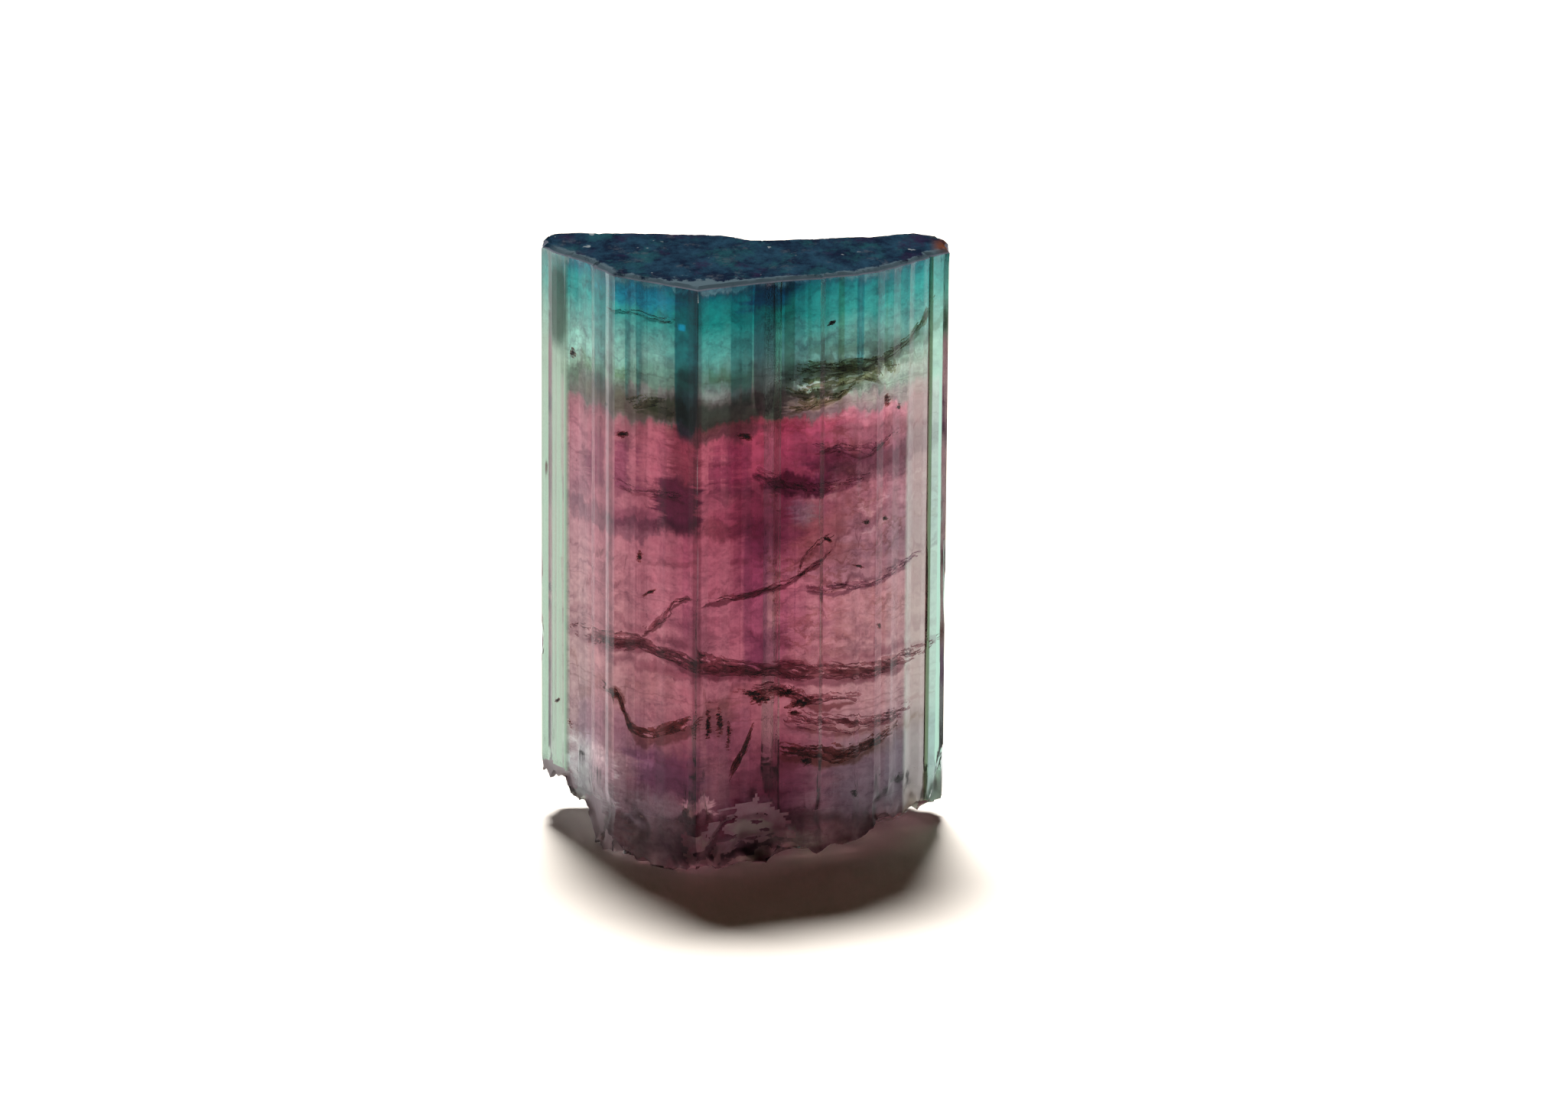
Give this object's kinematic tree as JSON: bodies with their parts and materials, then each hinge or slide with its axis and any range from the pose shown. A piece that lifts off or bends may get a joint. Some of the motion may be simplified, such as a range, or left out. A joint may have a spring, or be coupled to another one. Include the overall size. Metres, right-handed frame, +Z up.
{
  "type": "watermelon tourmaline crystal",
  "caption": "Short see-through prismatic crystal, pink below and blue-green above, with ribbed sides, a flat dark end face and a broken foot.",
  "frame": {"origin": "middle of the flat foot that the crystal stands on", "axes": "+Z up along the crystal's length, -Y towards the sharp front edge, +X to the right seen from there"},
  "size_m": [0.016, 0.0108, 0.0234],
  "materials": {
    "tourmaline": "glossy prism faces, finely ribbed along their length, with a satin end face and a frosted foot"
  },
  "bodies": {
    "root": {"tourmaline_crystal": "tourmaline"}
  },
  "joints": []
}
